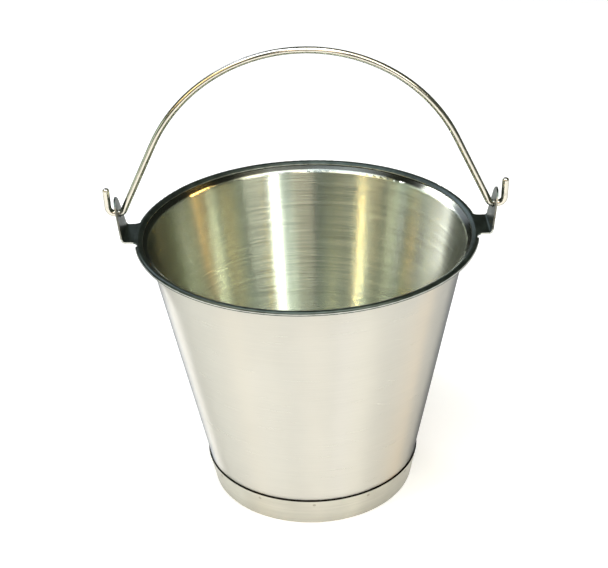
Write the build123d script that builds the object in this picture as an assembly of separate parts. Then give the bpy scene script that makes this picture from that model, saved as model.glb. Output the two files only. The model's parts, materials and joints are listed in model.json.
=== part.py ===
from build123d import *
import math
import os

# A tapered stainless steel feed bucket with a wire bail, in millimetres.
# The origin is on the floor under the centre of the bucket, +Z is up, and X runs through both ears.

# ---- driving dimensions -------------------------------------------------------------------
HEIGHT = 258.0               # floor to the flat top of the rim ring
RIM_RADIUS = 155.0           # outside of the rim ring
WALL_TOP_RADIUS = 145.4      # outside of the wall, carried up to the height of the rim
WALL_FOOT_RADIUS = 99.6      # outside of the wall where the foot ring ends
FOOT_HEIGHT = 28.5           # top edge of the foot ring
BAIL_ARC_RADIUS = 148.0      # centreline of the round top of the bail
BAIL_WIRE = 6.0              # wire diameter
PIVOT_ABOVE_RIM = 20.3       # ear holes above the top of the rim

# ---- sheet thicknesses --------------------------------------------------------------------
SHELL_SHEET = 0.8
RING_SHEET = 1.5
FOOT_SHEET = 1.0

# ---- shell --------------------------------------------------------------------------------
FLOOR_UNDERSIDE = 14.0       # the floor is held off the ground by the foot ring
FLOOR_BEND = 11.0            # outside radius between floor and wall
LIP_BEND = 4.0               # underside radius between wall and flange
FLANGE_RADIUS = 151.6        # edge of the shell's flange, hidden under the rim ring

# ---- rim ring and its ears ----------------------------------------------------------------
RING_INNER_RADIUS = 147.8
DISH_RADIUS = 151.4          # inside this the ring slopes down towards the mouth
DISH_DEPTH = 2.2             # how far its inner edge is below its flat top
DISH_BEND = 2.5              # outside radius between the flat top and the slope
RING_CORNER = 2.0            # outside radius where the ring turns down
HEM_DEPTH = 3.4              # total height of the turned down edge
EAR_NECK_HALF_WIDTH = 19.0
EAR_NECK_FILLET = 6.0
EAR_FOLD_X = 164.2           # where the inner face of the tab would meet the top of the neck
EAR_FOLD_RADIUS = 2.5        # on the inside of the fold
EAR_LEAN = 9.0               # degrees that the tab leans outwards
TAB_HEIGHT = 35.0
TAB_TOP_RADIUS = 12.0
TAB_STRAIGHT = 3.0           # height at which the tab starts to taper
EAR_HOLE_RADIUS = 4.2
RELIEF_HALF_WIDTH = 27.0     # the turned down edge stops this far either side of an ear's middle
RELIEF_RADIUS = 153.2        # flat edge of the ring between an ear and the turned down edge
EAR_ROOT_RADIUS = 152.6      # where the flat metal of an ear starts, outside the slope
INNER_EDGE_ROUNDING = 0.67   # on both edges at the ring's inside, nearly half its thickness

# ---- foot ring ----------------------------------------------------------------------------
FOOT_GAP = 0.5               # between the wall and the foot ring
FOOT_BEND = 2.5              # outside radius at the ground
FOOT_FLANGE = 7.5            # width of the inward flange that the bucket stands on

# ---- spot welds ---------------------------------------------------------------------------
FOOT_WELD_RADIUS = 1.6
FOOT_WELD_COUNT = 12
FOOT_WELD_BELOW_EDGE = 4.2
FOOT_WELD_DIMPLE = 0.15      # how far the electrode mark is sunk in the foot ring
RIM_GAP = 0.05               # between the shell's flange and the rim ring
RIM_WELD_RADIUS = 1.25
RIM_WELD_COUNT = 12
RIM_WELD_PITCH_RADIUS = 149.9
RIM_WELD_INTO_RING = 0.8     # the nuggets stop inside the rim ring, so its top is unmarked

# ---- bail ---------------------------------------------------------------------------------
BAIL_LEG_ANGLE = 25.8        # degrees between a straight leg and the vertical
BAIL_FOOT_X = 164.4          # where a leg's centreline reaches the height of the pivot
BAIL_FOOT_BEND = 5.0         # centreline radius from the leg into the hole
HOOK_X = 177.0               # centreline of the turned up end, outside the ear
HOOK_BEND = 6.0
HOOK_HEIGHT = 24.2           # pivot to the tip of the turned up end
HOOK_LEAN = 2.0              # degrees that the turned up end leans outwards
WIRE_END_ROUNDING = 2.2

# ---- worked out from the above ------------------------------------------------------------
WALL_SLOPE = (WALL_TOP_RADIUS - WALL_FOOT_RADIUS) / (HEIGHT - FOOT_HEIGHT)
WALL_ANGLE = math.atan(WALL_SLOPE)
DISH_SLOPE = DISH_DEPTH / (DISH_RADIUS - RING_INNER_RADIUS)
DISH_ANGLE = math.atan(DISH_SLOPE)
PIVOT_HEIGHT = HEIGHT + PIVOT_ABOVE_RIM
TOUCHING = 0.01              # points nearer than this are the same place


def wall_radius(height, outwards=0.0):
    """Radius of the wall's outside at a height, or of a face that far outside it."""
    radius = WALL_FOOT_RADIUS + (height - FOOT_HEIGHT) * WALL_SLOPE
    return radius + outwards / math.cos(WALL_ANGLE)


def dish_height(radius, below):
    """Height at a radius of the ring's sloping top, or of a face that far below it."""
    return HEIGHT - (DISH_RADIUS - radius) * DISH_SLOPE - below / math.cos(DISH_ANGLE)


def bent_sheet(corners, radii, thickness):
    """Section of a bent sheet, as a face in the XZ plane.

    The corners and their radii are those of one face. The sheet lies to the left of that
    face for a positive thickness, seen along the run of the corners, and to the right for
    a negative one.
    """
    points = [Vector(x, z) for x, z in corners]
    runs = [(b - a).normalized() for a, b in zip(points, points[1:])]
    lefts = [Vector(-run.Y, run.X) for run in runs]
    far_points = [points[0] + lefts[0] * thickness]
    far_radii = []
    for k, radius in enumerate(radii):
        both = lefts[k] + lefts[k + 1]
        far_points.append(points[k + 1] + both * (thickness / (1 + lefts[k].dot(lefts[k + 1]))))
        turn = math.copysign(1, runs[k].cross(runs[k + 1]).Z)
        far_radii.append(radius - turn * thickness)
    far_points.append(points[-1] + lefts[-1] * thickness)
    near = FilletPolyline(*points, radius=radii)
    far = FilletPolyline(*far_points, radius=far_radii)
    ends = [Line(near @ 0, far @ 0), Line(near @ 1, far @ 1)]
    return Plane.XZ * make_face([*near.edges(), *far.edges(), *ends])


def around(count, first=0.0):
    """Turns about the bucket's axis, evenly spaced, starting at an angle in degrees."""
    return [Rot(0, 0, first + 360 * k / count) for k in range(count)]


def both_sides(shape):
    """A shape at +X together with its mirror image at -X."""
    return [shape, mirror(shape, Plane.YZ)]


def foot_weld_places():
    """Planes on the wall's outside, one for each weld of the foot ring, facing outwards."""
    height = FOOT_HEIGHT - FOOT_WELD_BELOW_EDGE
    outwards = (math.cos(WALL_ANGLE), 0, -math.sin(WALL_ANGLE))
    place = Plane((wall_radius(height), 0, height), z_dir=outwards).location
    return [turn * place for turn in around(FOOT_WELD_COUNT)]


def foot_weld_rods(low, high):
    """Round rods at the foot ring's welds, between two distances outside the wall."""
    rod = Pos(0, 0, low) * extrude(Circle(FOOT_WELD_RADIUS), high - low)
    return [place * rod for place in foot_weld_places()]


def rim_weld_rods(low, high):
    """Round rods at the rim ring's welds, between two distances above the ring's underside."""
    centre = (RIM_WELD_PITCH_RADIUS, 0, dish_height(RIM_WELD_PITCH_RADIUS, RING_SHEET))
    place = Plane(centre, z_dir=(-math.sin(DISH_ANGLE), 0, math.cos(DISH_ANGLE))).location
    rod = place * Pos(0, 0, low) * extrude(Circle(RIM_WELD_RADIUS), high - low)
    return [turn * rod for turn in around(RIM_WELD_COUNT, 360 / RIM_WELD_COUNT / 2)]


def pail_shell():
    """The drawn body: floor, tapered wall, rolled lip and the flange that carries the ring."""
    below_ring = RING_SHEET + RIM_GAP + SHELL_SHEET
    lip_height = dish_height(wall_radius(0), below_ring) / (1 - WALL_SLOPE * DISH_SLOPE)
    section = bent_sheet(
        [
            (0, FLOOR_UNDERSIDE),
            (wall_radius(FLOOR_UNDERSIDE), FLOOR_UNDERSIDE),
            (wall_radius(lip_height), lip_height),
            (FLANGE_RADIUS, dish_height(FLANGE_RADIUS, below_ring)),
        ],
        [FLOOR_BEND, LIP_BEND],
        SHELL_SHEET,
    )
    shell = revolve(section, Axis.Z)
    shell -= foot_weld_rods(-2 * SHELL_SHEET, FOOT_GAP)
    shell -= rim_weld_rods(-2 * SHELL_SHEET, RIM_WELD_INTO_RING)
    return shell


def ear_outline():
    """Outline of an ear seen along X: a base as wide as the neck, tapering to a round top."""
    base_height = TAB_STRAIGHT + RING_CORNER + HEM_DEPTH
    base = Pos(0, HEIGHT + TAB_STRAIGHT - base_height / 2)
    base *= Rectangle(2 * EAR_NECK_HALF_WIDTH, base_height)
    top = Pos(0, HEIGHT + TAB_HEIGHT - TAB_TOP_RADIUS) * Circle(TAB_TOP_RADIUS)
    return make_hull([*base.edges(), *top.edges()])


def ear():
    """One ear at +X: the neck, the fold and the upright tab with its hole."""
    lean = math.radians(EAR_LEAN)
    tab_top = (EAR_FOLD_X + TAB_HEIGHT * math.tan(lean), HEIGHT + TAB_HEIGHT)
    section = bent_sheet(
        [(EAR_ROOT_RADIUS, HEIGHT), (EAR_FOLD_X, HEIGHT), tab_top],
        [EAR_FOLD_RADIUS],
        -RING_SHEET,
    )
    strip = extrude(section, EAR_NECK_HALF_WIDTH, both=True)
    outline = extrude(Plane.YZ * ear_outline(), 2 * RIM_RADIUS)
    bore = Pos(0, 0, PIVOT_HEIGHT) * Rot(0, 90, 0) * extrude(Circle(EAR_HOLE_RADIUS), 2 * RIM_RADIUS)
    return (strip & outline) - bore


def ear_root():
    """The flat part of the ring under one ear, with filleted corners up to the neck."""
    neck_end = EAR_FOLD_X - EAR_FOLD_RADIUS - RING_SHEET
    neck = Rectangle(neck_end, 2 * EAR_NECK_HALF_WIDTH, align=(Align.MIN, Align.CENTER))
    plan = Circle(RELIEF_RADIUS) + neck
    corners = plan.vertices().filter_by(
        lambda v: abs(Vector(v.X, v.Y).length - RELIEF_RADIUS) < TOUCHING
        and abs(abs(v.Y) - EAR_NECK_HALF_WIDTH) < TOUCHING
    )
    plan = fillet(corners, EAR_NECK_FILLET)
    sector = Rectangle(RIM_RADIUS + TAB_HEIGHT, 2 * RELIEF_HALF_WIDTH, align=(Align.MIN, Align.CENTER))
    plan = (plan & sector) - Circle(EAR_ROOT_RADIUS)
    return Pos(0, 0, HEIGHT - RING_SHEET) * extrude(plan, RING_SHEET)


def rim_ring():
    """The stamped and dished ring on the shell's flange, in one piece with both ears."""
    section = bent_sheet(
        [
            (RING_INNER_RADIUS, HEIGHT - DISH_DEPTH),
            (DISH_RADIUS, HEIGHT),
            (RIM_RADIUS, HEIGHT),
            (RIM_RADIUS, HEIGHT - HEM_DEPTH),
        ],
        [DISH_BEND, RING_CORNER],
        -RING_SHEET,
    )
    ring = revolve(section, Axis.Z)
    inner_edges = ring.edges().filter_by(
        lambda e: e.geom_type == GeomType.CIRCLE and e.radius < RING_INNER_RADIUS + RING_SHEET
    )
    ring = fillet(inner_edges, INNER_EDGE_ROUNDING)
    beside_ear = Rectangle(2 * RIM_RADIUS, 2 * RELIEF_HALF_WIDTH, align=(Align.MIN, Align.CENTER))
    relief = extrude(beside_ear - Circle(EAR_ROOT_RADIUS), HEM_DEPTH)
    ring -= both_sides(Pos(0, 0, HEIGHT - HEM_DEPTH) * relief)
    ring += both_sides(ear_root())
    ring += both_sides(ear())
    ring -= rim_weld_rods(-SHELL_SHEET, RIM_WELD_INTO_RING)
    return ring


def foot_ring():
    """The band around the bottom of the wall, turned in at the ground."""
    outside = FOOT_GAP + FOOT_SHEET
    ground_radius = wall_radius(0, outside)
    section = bent_sheet(
        [
            (wall_radius(FOOT_HEIGHT, outside), FOOT_HEIGHT),
            (ground_radius, 0),
            (ground_radius - FOOT_FLANGE, 0),
        ],
        [FOOT_BEND],
        -FOOT_SHEET,
    )
    band = revolve(section, Axis.Z)
    return band - foot_weld_rods(0, 2 * outside)


def foot_ring_spot_welds():
    """Weld nuggets that join the foot ring to the wall."""
    outside = FOOT_GAP + FOOT_SHEET - FOOT_WELD_DIMPLE
    return Compound(foot_weld_rods(-SHELL_SHEET, outside))


def rim_ring_spot_welds():
    """Weld nuggets that join the rim ring to the shell's flange, struck from below."""
    return Compound(rim_weld_rods(-RIM_GAP - SHELL_SHEET, RIM_WELD_INTO_RING))


def bail():
    """The bail: one wire, bent to a round top, two straight legs and two turned up ends."""
    leg = math.radians(BAIL_LEG_ANGLE)
    shoulder_x = BAIL_ARC_RADIUS * math.cos(leg)
    shoulder_z = (BAIL_FOOT_X - shoulder_x) / math.tan(leg)
    arc_centre_z = shoulder_z - BAIL_ARC_RADIUS * math.sin(leg)
    crown = (0, arc_centre_z + BAIL_ARC_RADIUS)
    tip = (HOOK_X + HOOK_HEIGHT * math.tan(math.radians(HOOK_LEAN)), HOOK_HEIGHT)
    side = FilletPolyline(
        (shoulder_x, shoulder_z), (BAIL_FOOT_X, 0), (HOOK_X, 0), tip, radius=[BAIL_FOOT_BEND, HOOK_BEND]
    )
    top = ThreePointArc((shoulder_x, shoulder_z), crown, (-shoulder_x, shoulder_z))
    path = Plane.XZ * Wire([*side.edges(), *top.edges(), *mirror(side, Plane.YZ).edges()])
    start = Plane(path @ 0, z_dir=path % 0)
    wire = sweep(start * Circle(BAIL_WIRE / 2), path)
    wire = fillet(wire.faces().filter_by(GeomType.PLANE).edges(), WIRE_END_ROUNDING)
    return Pos(0, 0, PIVOT_HEIGHT) * wire


PARTS = {
    "pail_shell": pail_shell,
    "rim_ring": rim_ring,
    "foot_ring": foot_ring,
    "rim_ring_spot_welds": rim_ring_spot_welds,
    "foot_ring_spot_welds": foot_ring_spot_welds,
    "bail": bail,
}

os.makedirs("parts", exist_ok=True)
for name, make in PARTS.items():
    export_step(make(), f"parts/{name}.step")
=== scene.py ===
"""Looks for the feed bucket: brushed and polished stainless steel in a plain, bright studio."""

import json
import math

import bpy
from mathutils import Matrix, Vector


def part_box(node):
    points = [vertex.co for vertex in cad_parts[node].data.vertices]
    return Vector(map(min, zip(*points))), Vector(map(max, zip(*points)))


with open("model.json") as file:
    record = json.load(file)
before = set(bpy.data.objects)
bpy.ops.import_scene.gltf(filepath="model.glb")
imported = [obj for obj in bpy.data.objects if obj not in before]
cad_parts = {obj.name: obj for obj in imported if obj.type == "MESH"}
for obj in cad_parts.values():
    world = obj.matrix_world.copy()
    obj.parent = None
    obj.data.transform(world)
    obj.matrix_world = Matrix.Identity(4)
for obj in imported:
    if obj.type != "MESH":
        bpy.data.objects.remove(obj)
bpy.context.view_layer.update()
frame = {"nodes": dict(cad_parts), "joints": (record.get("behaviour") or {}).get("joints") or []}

# ---- places read from the frame, in metres --------------------------------------------------
PIVOT_ABOVE_RIM = 0.0203     # ear holes above the top of the rim ring, as in the part
FOOT_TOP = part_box("foot_ring")[1][2]
PIVOT_HEIGHT = frame["joints"][0]["pos_m"][2]
RIM_HEIGHT = PIVOT_HEIGHT - PIVOT_ABOVE_RIM
RIM_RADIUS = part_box("rim_ring")[1][1]


# ---- node helpers ---------------------------------------------------------------------------
class Nodes:
    """Short calls for building one material's node tree."""

    def __init__(self, name):
        self.material = bpy.data.materials.new(name)
        self.material.use_nodes = True
        self.tree = self.material.node_tree
        self.shader = self.tree.nodes["Principled BSDF"]

    def add(self, kind, inputs=(), **settings):
        node = self.tree.nodes.new(kind)
        for key, value in settings.items():
            setattr(node, key, value)
        for key, value in dict(inputs).items():
            self.put(node.inputs[key], value)
        return node

    def put(self, socket, value):
        if isinstance(value, bpy.types.NodeSocket):
            self.tree.links.new(value, socket)
        else:
            socket.default_value = value

    def set(self, **values):
        """Sets sockets of the shader, whose names are given with _ for a space."""
        for key, value in values.items():
            self.put(self.shader.inputs[key.replace("_", " ")], value)

    def math(self, operation, *values):
        node = self.add("ShaderNodeMath", operation=operation)
        for socket, value in zip(node.inputs, values):
            self.put(socket, value)
        return node.outputs[0]

    def plus(self, first, second):
        return self.math("ADD", first, second)

    def minus(self, first, second):
        return self.math("SUBTRACT", first, second)

    def times(self, first, second):
        return self.math("MULTIPLY", first, second)

    def above(self, value, limit):
        """1 where a value is over a limit, else 0."""
        return self.math("GREATER_THAN", value, limit)

    def vector(self, operation, *values):
        node = self.add("ShaderNodeVectorMath", operation=operation)
        for socket, value in zip(node.inputs, values):
            self.put(socket, value)
        return node.outputs["Value" if operation in ("LENGTH", "DOT_PRODUCT") else "Vector"]

    def noise(self, vector, detail=2.0):
        inputs = {"Vector": vector, "Scale": 1.0, "Detail": detail}
        return self.add("ShaderNodeTexNoise", inputs).outputs["Fac"]

    def spread(self, value, low, high, start=0.0, end=1.0, smooth=False):
        """Maps start..end to low..high, and holds the ends."""
        inputs = {"Value": value, "From Min": start, "From Max": end, "To Min": low, "To Max": high}
        kind = "SMOOTHSTEP" if smooth else "LINEAR"
        return self.add("ShaderNodeMapRange", inputs, interpolation_type=kind).outputs["Result"]

    def mix(self, factor, first, second):
        """From the first colour at factor 0 to the second at factor 1."""
        node = self.add("ShaderNodeMix", data_type="RGBA")
        factor_socket, first_socket, second_socket = (node.inputs[k] for k in (0, 6, 7))
        self.put(factor_socket, factor)
        self.put(first_socket, first)
        self.put(second_socket, second)
        return node.outputs[2]

    def join(self, x, y, z):
        return self.add("ShaderNodeCombineXYZ", {"X": x, "Y": y, "Z": z}).outputs[0]

    def facing(self):
        """0 where the surface faces the viewer and 1 where it is seen edge-on."""
        return self.add("ShaderNodeLayerWeight", {"Blend": 0.5}).outputs["Facing"]

    def tint(self, colour, factor):
        """A colour, given as a tuple or a socket, times a number."""
        node = self.add("ShaderNodeVectorMath", operation="SCALE")
        self.put(node.inputs[0], colour[:3] if isinstance(colour, tuple) else colour)
        self.put(node.inputs["Scale"], factor)
        return node.outputs["Vector"]

    def bump(self, height, distance):
        inputs = {"Strength": 1.0, "Distance": distance, "Height": height}
        self.set(Normal=self.add("ShaderNodeBump", inputs).outputs["Normal"])


class Place:
    """Where a point is on the bucket: x, y, z, its radius about the axis, and its normal."""

    def __init__(self, n):
        self.position = n.add("ShaderNodeTexCoord").outputs["Object"]
        self.x, self.y, self.z = n.add("ShaderNodeSeparateXYZ", {"Vector": self.position}).outputs
        self.flat = n.vector("MULTIPLY", self.position, (1.0, 1.0, 0.0))
        self.radius = n.vector("LENGTH", self.flat)
        self.normal = n.add("ShaderNodeNewGeometry").outputs["Normal"]
        _, self.ny, self.nz = n.add("ShaderNodeSeparateXYZ", {"Vector": self.normal}).outputs


TRUE_RADIUS = 0.13           # where a brush line has its stated length; nearer the axis it is shorter


def round_grain(n, p, across, along, seed=0.0, twist=0.0, detail=2.0):
    """Brush lines that run round the axis. Across and along are a line's spacing and length."""
    turns = TRUE_RADIUS / along
    u = n.times(n.math("DIVIDE", p.x, p.radius), turns)
    v = n.times(n.math("DIVIDE", p.y, p.radius), turns)
    height = n.plus(n.plus(p.z, p.radius), seed)
    if twist:
        height = n.plus(height, n.times(n.math("ARCTAN2", p.y, p.x), twist))
    return n.noise(n.join(u, v, n.math("DIVIDE", height, across)), detail)


def contrast(n, lines, low, high):
    """Noise stretched about its middle, where nearly all of it lies."""
    return n.spread(lines, low, high, 0.25, 0.75)


def brush_round_axis(n, roughness):
    """Brushed metal whose reflections are drawn out at right angles to the brush lines."""
    tangent = n.add("ShaderNodeTangent", direction_type="RADIAL", axis="Z").outputs[0]
    n.set(Metallic=1.0, Roughness=roughness, Anisotropic=1.0, Anisotropic_Rotation=0.25, Tangent=tangent)


# ---- materials, with colours in linear red, green, blue and alpha ---------------------------
OUTSIDE = (0.585, 0.57, 0.515, 1.0)
# Painted dark reflection for the body's outside where it is seen edge-on.
OUTSIDE_EDGE_SHADE = (0.10, 0.11, 0.12, 1.0)
INSIDE = (0.575, 0.605, 0.52, 1.0)
FOOT = (0.56, 0.545, 0.475, 1.0)
# Painted dark reflection: the ring's steel made nearly black for the dark surroundings its flat top reflects.
RING_PAINTED_DARK = (0.074, 0.092, 0.078, 1.0)
# Painted highlight on the ring's worn, cut edges.
RING_EDGE_HIGHLIGHT = (0.50, 0.51, 0.47, 1.0)
WIRE = (0.64, 0.61, 0.53, 1.0)
# Painted shade for the wire's sides where they are seen edge-on.
WIRE_SIDE_SHADE = (0.08, 0.075, 0.06, 1.0)
WELD = (0.30, 0.28, 0.23, 1.0)
WELD_BRIGHT = (0.52, 0.50, 0.43, 1.0)
# Painted shadow for the gap where the foot ring meets the body.
GAP_SHADE = (0.020, 0.019, 0.015, 1.0)


def smudges(n, p, size, amount, seed):
    """Soft uneven patches from handling and washing, as a factor about 1."""
    place = n.vector("ADD", n.tint(p.position, 1.0 / size), (seed, seed, seed))
    return n.spread(n.noise(place, 3.0), 1.0 - amount, 1.0 + amount, 0.3, 0.7)


def on_outside(n, p):
    """1 on the body's outer face, 0 on its inner face, told by which way the surface faces."""
    up_weight = 0.03         # metres: a level face is an outer one if it faces down, as under the floor
    outwards = n.minus(n.vector("DOT_PRODUCT", p.flat, p.normal), n.times(p.nz, up_weight))
    return n.above(outwards, 0.0)


def lip_shade(n, p):
    """1 where the lip turns level under the ring's inner edge, 0 on the wall."""
    lip_starts = RIM_RADIUS - 0.0140
    level = n.spread(p.nz, 0.0, 1.0, 0.55, 0.80, smooth=True)
    return n.times(level, n.above(p.radius, lip_starts))


def foot_gap_shade(n, p):
    """1 in a thin ragged line of painted shadow on the wall, from just behind the foot ring to just above it.
    """
    lowest = -0.004
    height = n.minus(p.z, FOOT_TOP)
    ragged = n.times(n.noise(n.tint(p.position, 220.0), 2.0), 0.0010)
    line = n.spread(n.minus(height, ragged), 1.0, 0.0, 0.0001, 0.0005, smooth=True)
    return n.times(line, n.above(height, lowest))


def body_steel():
    """Brushed round the axis, with painted shade on the outside seen edge-on, on the lip under the ring's
    inner edge and in a line above the foot ring.
    """
    n = Nodes("body_steel")
    p = Place(n)
    outside = on_outside(n, p)
    fine = round_grain(n, p, 0.0011, 0.060)
    broad = round_grain(n, p, 0.0024, 0.150, 1.7)
    lines = n.plus(n.times(fine, 0.7), n.times(broad, 0.3))
    scratches = n.spread(round_grain(n, p, 0.0016, 0.050, 4.1, twist=0.06, detail=1.0), 0.0, 1.0, 0.70, 0.78)
    scratches = n.times(scratches, n.spread(p.x, 0.2, 1.0, 0.0, 0.10))

    depth = n.spread(outside, 0.20, 0.04)
    shade = n.plus(1.0, n.times(contrast(n, lines, -1.0, 1.0), depth))
    shade = n.times(shade, smudges(n, p, 0.045, 0.018, 2.0))
    shade = n.plus(shade, n.times(scratches, 0.10))
    # Painted shade on the lip's crevice under the ring's inner edge.
    shade = n.times(shade, n.minus(1.0, n.times(lip_shade(n, p), 0.8)))
    # Painted dark reflection: the outside turns dark where it is seen edge-on.
    edge = n.times(n.spread(n.facing(), 0.0, 1.0, 0.72, 0.96, smooth=True), outside)
    steel = n.mix(edge, n.mix(outside, INSIDE, OUTSIDE), OUTSIDE_EDGE_SHADE)
    # Painted shadow line on the wall at the foot ring's top.
    seam_shade = n.times(foot_gap_shade(n, p), outside)
    n.set(Base_Color=n.mix(seam_shade, n.tint(steel, shade), GAP_SHADE), Specular_Tint=(0.55, 0.55, 0.55, 1.0))

    rough = n.plus(contrast(n, lines, -0.03, 0.05), n.times(scratches, -0.03))
    rough = n.plus(rough, n.spread(outside, 0.225, 0.29))
    brush_round_axis(n, n.plus(rough, n.times(seam_shade, 0.4)))
    n.bump(lines, 0.00004)
    return n.material


def edge_highlights(n, p):
    """1 on the ring's worn, cut metal where highlights are painted: its inner edge, a line round its hem, the
    ears' edges.
    """
    inner_edge, blend = RIM_RADIUS - 0.0070, 0.0003
    hem_line, half_width = RIM_HEIGHT - 0.0022, 0.0004
    inner = n.spread(p.radius, 1.0, 0.0, inner_edge, inner_edge + blend, smooth=True)
    near_line = n.math("LESS_THAN", n.math("ABSOLUTE", n.minus(p.z, hem_line)), half_width)
    hem = n.times(near_line, n.above(p.radius, RIM_RADIUS - half_width))
    sideways = n.spread(n.math("ABSOLUTE", p.ny), 0.0, 1.0, 0.75, 0.9)
    cut = n.times(sideways, n.above(p.radius, RIM_RADIUS + 0.001))
    return n.math("MAXIMUM", n.math("MAXIMUM", inner, hem), cut)


def ring_steel():
    """Sheet painted nearly black as a dark reflection, bright along its worn, cut edges with painted
    highlights.
    """
    n = Nodes("ring_steel")
    p = Place(n)
    grain = round_grain(n, p, 0.0008, 0.040, 3.1)
    mottled = n.noise(n.tint(p.position, 130.0), 4.0)
    bright = edge_highlights(n, p)
    shade = n.times(contrast(n, grain, 0.88, 1.12), n.spread(mottled, 0.75, 1.25, 0.3, 0.7))
    n.set(Base_Color=n.tint(n.mix(bright, RING_PAINTED_DARK, RING_EDGE_HIGHLIGHT), shade))
    rough = n.plus(n.spread(mottled, 0.32, 0.44, 0.3, 0.7), n.times(bright, -0.08))
    n.set(Metallic=1.0, Roughness=rough)
    n.bump(n.plus(grain, mottled), 0.00005)
    return n.material


def foot_steel():
    """Brushed like the body, a little darker near the ground, with painted shade along its top edge."""
    n = Nodes("foot_steel")
    p = Place(n)
    fine = round_grain(n, p, 0.0007, 0.050, 5.3)
    broad = round_grain(n, p, 0.0040, 0.110, 6.9)
    lines = n.plus(n.times(fine, 0.5), n.times(broad, 0.5))
    shade = n.times(contrast(n, lines, 0.90, 1.10), smudges(n, p, 0.030, 0.05, 7.0))
    near_ground = n.spread(p.z, 0.88, 1.0, 0.001, 0.014)
    colour = n.tint(FOOT, n.times(shade, near_ground))
    # Painted shade along the foot ring's top edge, where it meets the body.
    top_edge_shade = n.spread(p.z, 0.0, 1.0, FOOT_TOP - 0.0006, FOOT_TOP - 0.0003, smooth=True)
    n.set(Base_Color=n.mix(top_edge_shade, colour, GAP_SHADE))
    brush_round_axis(n, n.plus(contrast(n, lines, 0.30, 0.38), n.times(top_edge_shade, 0.4)))
    n.bump(lines, 0.00006)
    return n.material


def draw_lines(n, p):
    """Fine lines along the wire, which runs round the middle of the line between the pivots."""
    along, across = 9.0, 2600.0
    from_pivot = n.vector("SUBTRACT", p.position, (0.0, 0.0, PIVOT_HEIGHT))
    reach = n.vector("LENGTH", n.vector("MULTIPLY", from_pivot, (1.0, 0.0, 1.0)))
    angle = n.math("ARCTAN2", p.x, n.minus(p.z, PIVOT_HEIGHT))
    return n.noise(n.join(n.times(angle, along), n.times(p.y, across), n.times(reach, across)), 2.0)


def wire_steel():
    """Drawn and polished wire, with painted shade at its sides, fine draw lines and a few scuffs."""
    n = Nodes("wire_steel")
    p = Place(n)
    lines = draw_lines(n, p)
    scuffs = n.spread(n.noise(n.tint(p.position, 240.0), 4.0), 0.0, 1.0, 0.58, 0.72)
    shade = n.plus(contrast(n, lines, 0.93, 1.05), n.times(scuffs, -0.10))
    # Painted shade: the wire turns dark where it is seen edge-on.
    side = n.spread(n.facing(), 0.0, 1.0, 0.55, 0.88, smooth=True)
    rough = n.plus(contrast(n, lines, 0.08, 0.18), n.times(scuffs, 0.16))
    n.set(Base_Color=n.tint(n.mix(side, WIRE, WIRE_SIDE_SHADE), shade), Metallic=1.0, Roughness=rough)
    n.set(Specular_Tint=(0.10, 0.10, 0.08, 1.0))
    n.bump(lines, 0.00003)
    return n.material


def weld_steel():
    """Matt electrode marks with a little heat tint."""
    n = Nodes("weld_steel")
    p = Place(n)
    spots = n.noise(n.tint(p.position, 1500.0), 4.0)
    n.set(Base_Color=n.mix(spots, WELD, WELD_BRIGHT), Metallic=1.0, Roughness=n.spread(spots, 0.35, 0.6))
    n.bump(spots, 0.00008)
    return n.material


WELD_STEEL = weld_steel()
MATERIALS = {
    "pail_shell": body_steel(),
    "rim_ring": ring_steel(),
    "foot_ring": foot_steel(),
    "bail": wire_steel(),
    "rim_ring_spot_welds": WELD_STEEL,
    "foot_ring_spot_welds": WELD_STEEL,
}
for node, material in MATERIALS.items():
    slot = frame["nodes"][node].material_slots[0]
    slot.link = "OBJECT"
    slot.material = material


# ---- studio ---------------------------------------------------------------------------------
FLOOR_SIZE = 12.0
FLOOR_GLOW = 0.36            # keeps the pale floor from going grey
LAMP_DISTANCE = 3.0
MOUTH = Vector((0.0, 0.0, RIM_HEIGHT - 0.06))  # where the lamps point, a little below the rim

# Each lamp: azimuth, elevation, width and height in degrees, and its radiance in red, green and blue.
SOFT_LAMPS = {
    "front": (3, 34, 16, 28, (2.8, 2.2, 1.7)),
    "front_left": (-32, 34, 14, 28, (1.5, 1.2, 0.6)),
    "left_haze": (-56, 34, 14, 28, (4.3, 3.2, 1.6)),
    "left_fade": (-72, 34, 8, 28, (1.7, 1.5, 0.9)),
    "left_low": (-88, 9, 32, 18, (0.9, 1.1, 0.9)),
    "back_left_wide": (-148, 34, 20, 30, (2.4, 2.6, 3.2)),
    "right_front": (42, 34, 15, 28, (5.0, 4.7, 4.0)),
    "top_front": (15, 66, 28, 34, (3.5, 3.8, 4.2)),
    "top_right": (48, 66, 28, 34, (2.4, 2.2, 1.8)),
    "top_left": (-60, 66, 28, 34, (4.4, 4.8, 5.5)),
}
# Narrow lamps that light the body alone, for the bright streaks down its inside.
STRIP_LAMPS = {
    "key_strip": (26.5, 34, 4, 28, (7.4, 6.8, 9.2)),
    "right_strip": (94, 34, 1.6, 28, (72.0, 42.0, 12.0)),
    "back_left_strip": (-132, 34, 3, 28, (260.0, 260.0, 265.0)),
}


def studio_floor():
    """A plain pale floor under the bucket, which glows a little."""
    bpy.ops.mesh.primitive_grid_add(x_subdivisions=4, y_subdivisions=4, size=FLOOR_SIZE)
    floor = bpy.context.object
    floor.name = "floor"
    n = Nodes("floor_paint")
    n.set(Base_Color=(0.90, 0.90, 0.89, 1.0), Roughness=0.8, Specular_IOR_Level=0.2)
    n.set(Emission_Color=(1.0, 1.0, 1.0, 1.0), Emission_Strength=FLOOR_GLOW)
    floor.data.materials.append(n.material)


def direction(azimuth, elevation):
    """Unit vector away from the bucket, for angles in radians. Azimuth 0 is in front."""
    level = math.cos(elevation)
    return Vector((math.sin(azimuth) * level, -math.cos(azimuth) * level, math.sin(elevation)))


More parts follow.
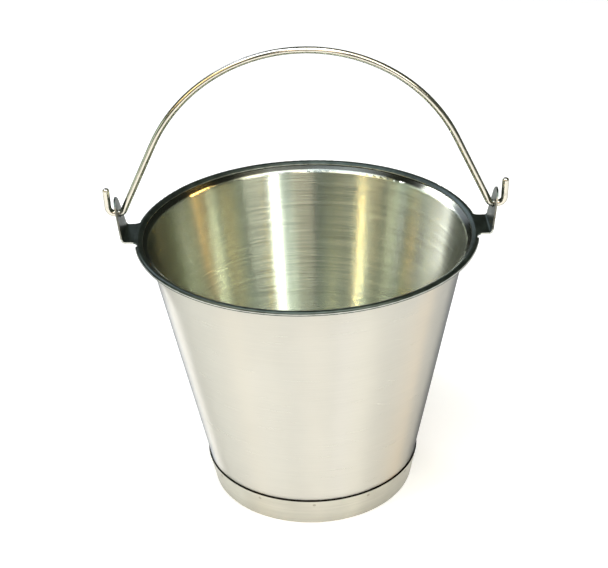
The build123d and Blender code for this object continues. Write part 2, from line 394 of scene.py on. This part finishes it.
def softbox(name, azimuth, elevation, wide, high, radiance):
    """A rectangular lamp facing the bucket. Azimuth 0 is in front and 90 at +X; all are degrees."""
    light = bpy.data.lights.new(name, "AREA")
    light.shape = "RECTANGLE"
    light.size, light.size_y = (2 * LAMP_DISTANCE * math.tan(math.radians(span / 2)) for span in (wide, high))
    strongest = max(radiance)
    light.color = [value / strongest for value in radiance]
    light.energy = strongest * math.pi * light.size * light.size_y  # watts, for that radiance
    lamp = bpy.data.objects.new(name, light)
    bpy.context.collection.objects.link(lamp)
    away = direction(math.radians(azimuth), math.radians(elevation))
    lamp.location = MOUTH + away * LAMP_DISTANCE
    lamp.rotation_mode = "QUATERNION"
    lamp.rotation_quaternion = away.to_track_quat("Z", "Y")
    lamp.visible_camera = False
    return lamp


def studio_world():
    """A dim even light from all round."""
    world = bpy.data.worlds.new("studio")
    bpy.context.scene.world = world
    world.use_nodes = True
    background = world.node_tree.nodes["Background"].inputs
    background["Color"].default_value = (0.9, 1.0, 0.8, 1.0)
    background["Strength"].default_value = 0.1


def studio_lamps():
    for name, settings in SOFT_LAMPS.items():
        softbox(name, *settings)
    lit_by_strips = bpy.data.collections.new("lit_by_strips")
    lit_by_strips.objects.link(frame["nodes"]["pail_shell"])
    for name, settings in STRIP_LAMPS.items():
        softbox(name, *settings).light_linking.receiver_collection = lit_by_strips


studio_floor()
studio_world()
studio_lamps()


# ---- camera ---------------------------------------------------------------------------------
LENS = 86.6                  # millimetres, on a sensor 36 mm wide
CAMERA_AZIMUTH, CAMERA_ELEVATION, CAMERA_ROLL = math.radians(0.3), math.radians(28.365), math.radians(1.69)
CAMERA_DISTANCE = 1.3466
AIM = Vector((-0.0040, 0.0, RIM_HEIGHT - 0.0571))


def studio_camera():
    """Stands in front and above, looking down at the bucket, and is rolled a little."""
    data = bpy.data.cameras.new("camera")
    camera = bpy.data.objects.new("camera", data)
    bpy.context.collection.objects.link(camera)
    data.sensor_width = 36.0
    data.lens = LENS
    data.clip_start, data.clip_end = 0.05, 100.0
    back = direction(CAMERA_AZIMUTH, CAMERA_ELEVATION)
    turn = back.to_track_quat("Z", "Y").to_matrix() @ Matrix.Rotation(-CAMERA_ROLL, 3, "Z")
    camera.matrix_world = Matrix.Translation(AIM + back * CAMERA_DISTANCE) @ turn.to_4x4()
    bpy.context.scene.camera = camera


studio_camera()
bpy.context.scene.view_settings.view_transform = "Standard"
